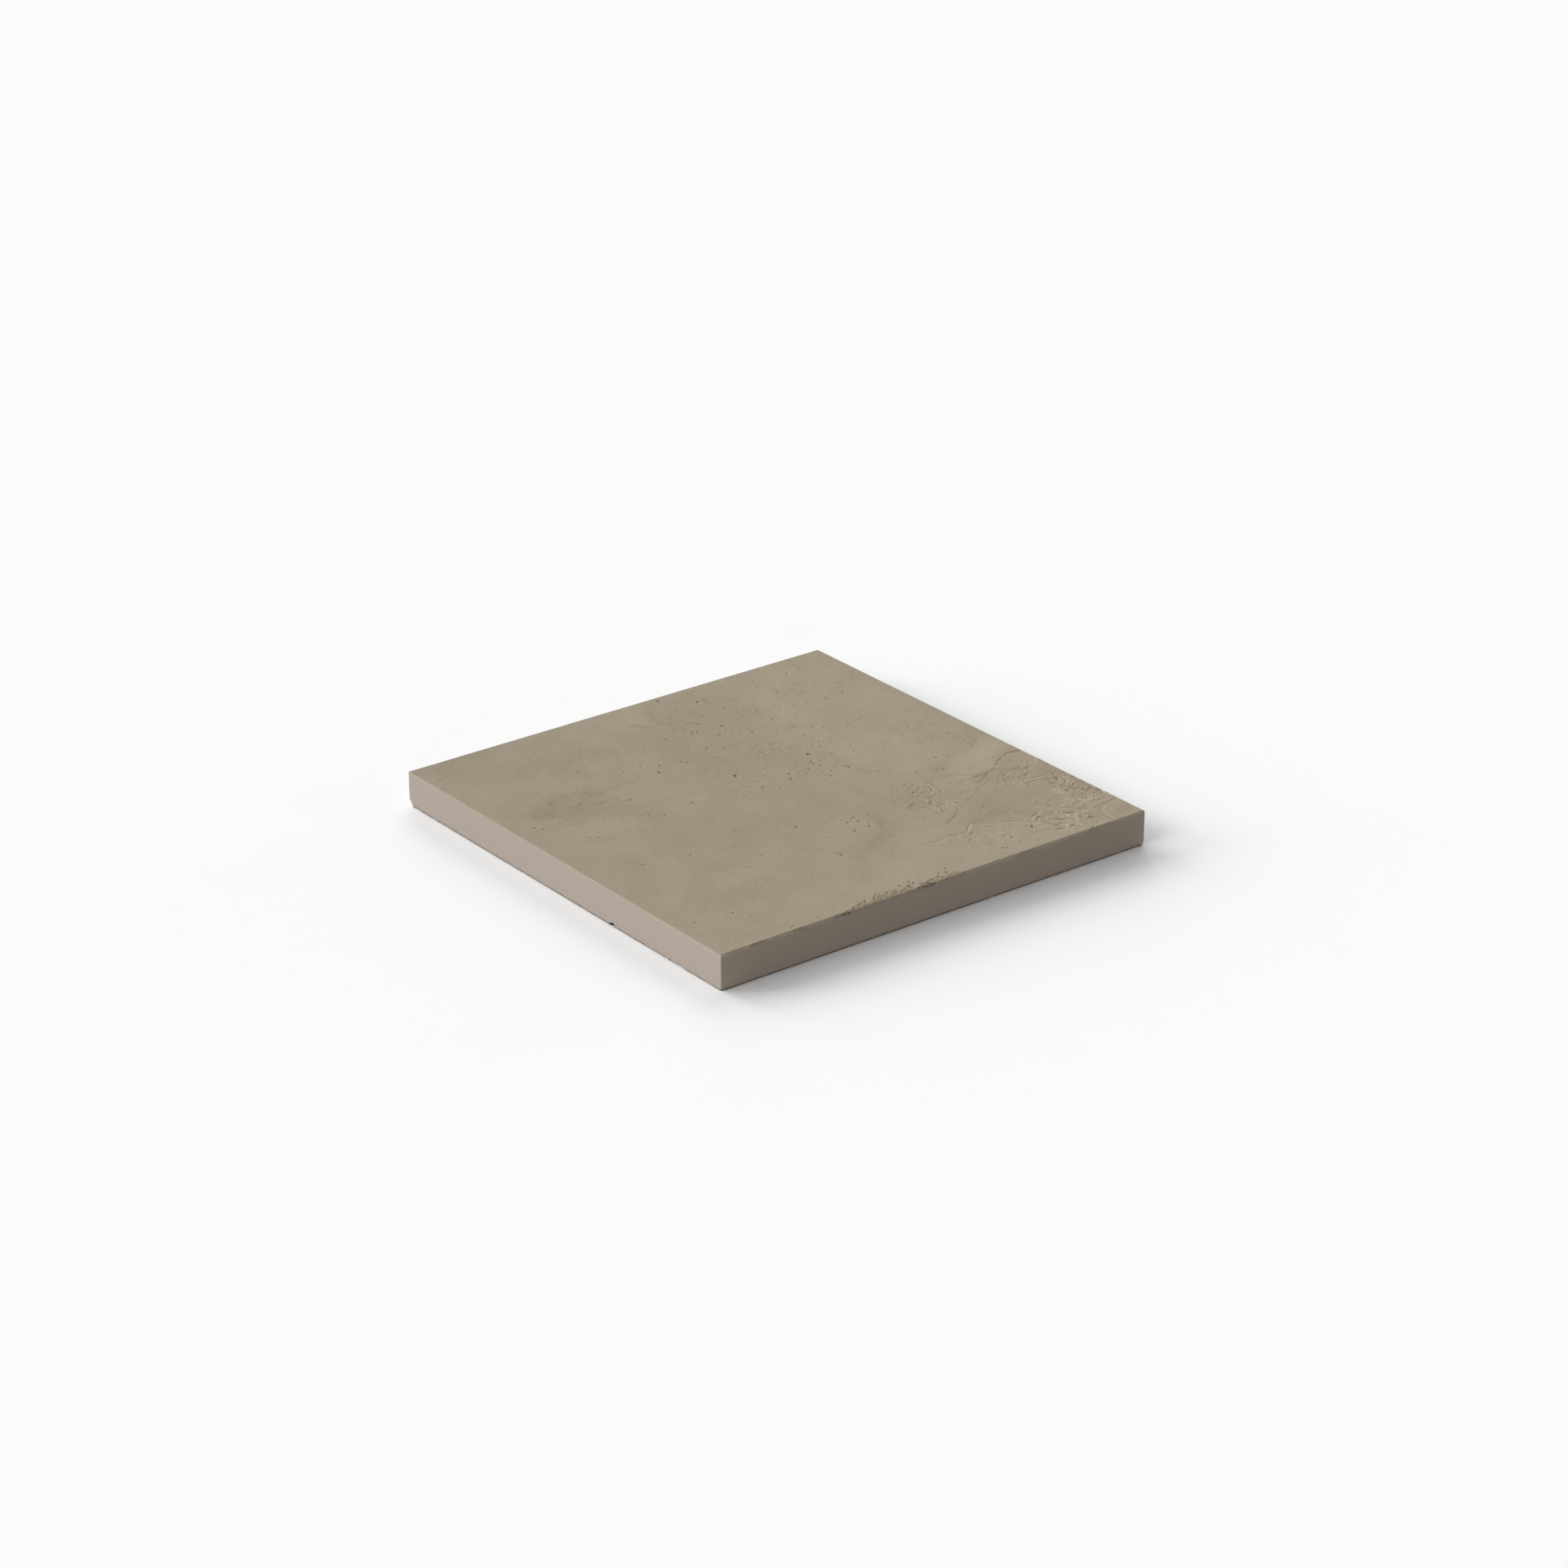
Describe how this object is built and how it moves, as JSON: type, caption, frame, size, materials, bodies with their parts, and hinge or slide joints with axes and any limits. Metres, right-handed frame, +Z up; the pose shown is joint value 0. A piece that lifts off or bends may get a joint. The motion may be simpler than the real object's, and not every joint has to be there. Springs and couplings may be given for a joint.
{
  "type": "tooling slab",
  "caption": "Square stone slab with a thin trowelled mineral coat on its flat top face, a solid surface to lay leather on for tooling.",
  "frame": {"origin": "centre of the underside, on the surface that the slab rests on", "axes": "+Z up through the thickness, towards the coated working face; X along the length and Y along the width"},
  "size_m": [0.305, 0.305, 0.022],
  "materials": {
    "stone": "fine sawn and rubbed, matt, pinkish taupe",
    "skim_coat": "trowelled, low satin, olive taupe with faint clouds"
  },
  "bodies": {
    "root": {"slab_core": "stone", "face_coat": "skim_coat"}
  },
  "joints": []
}
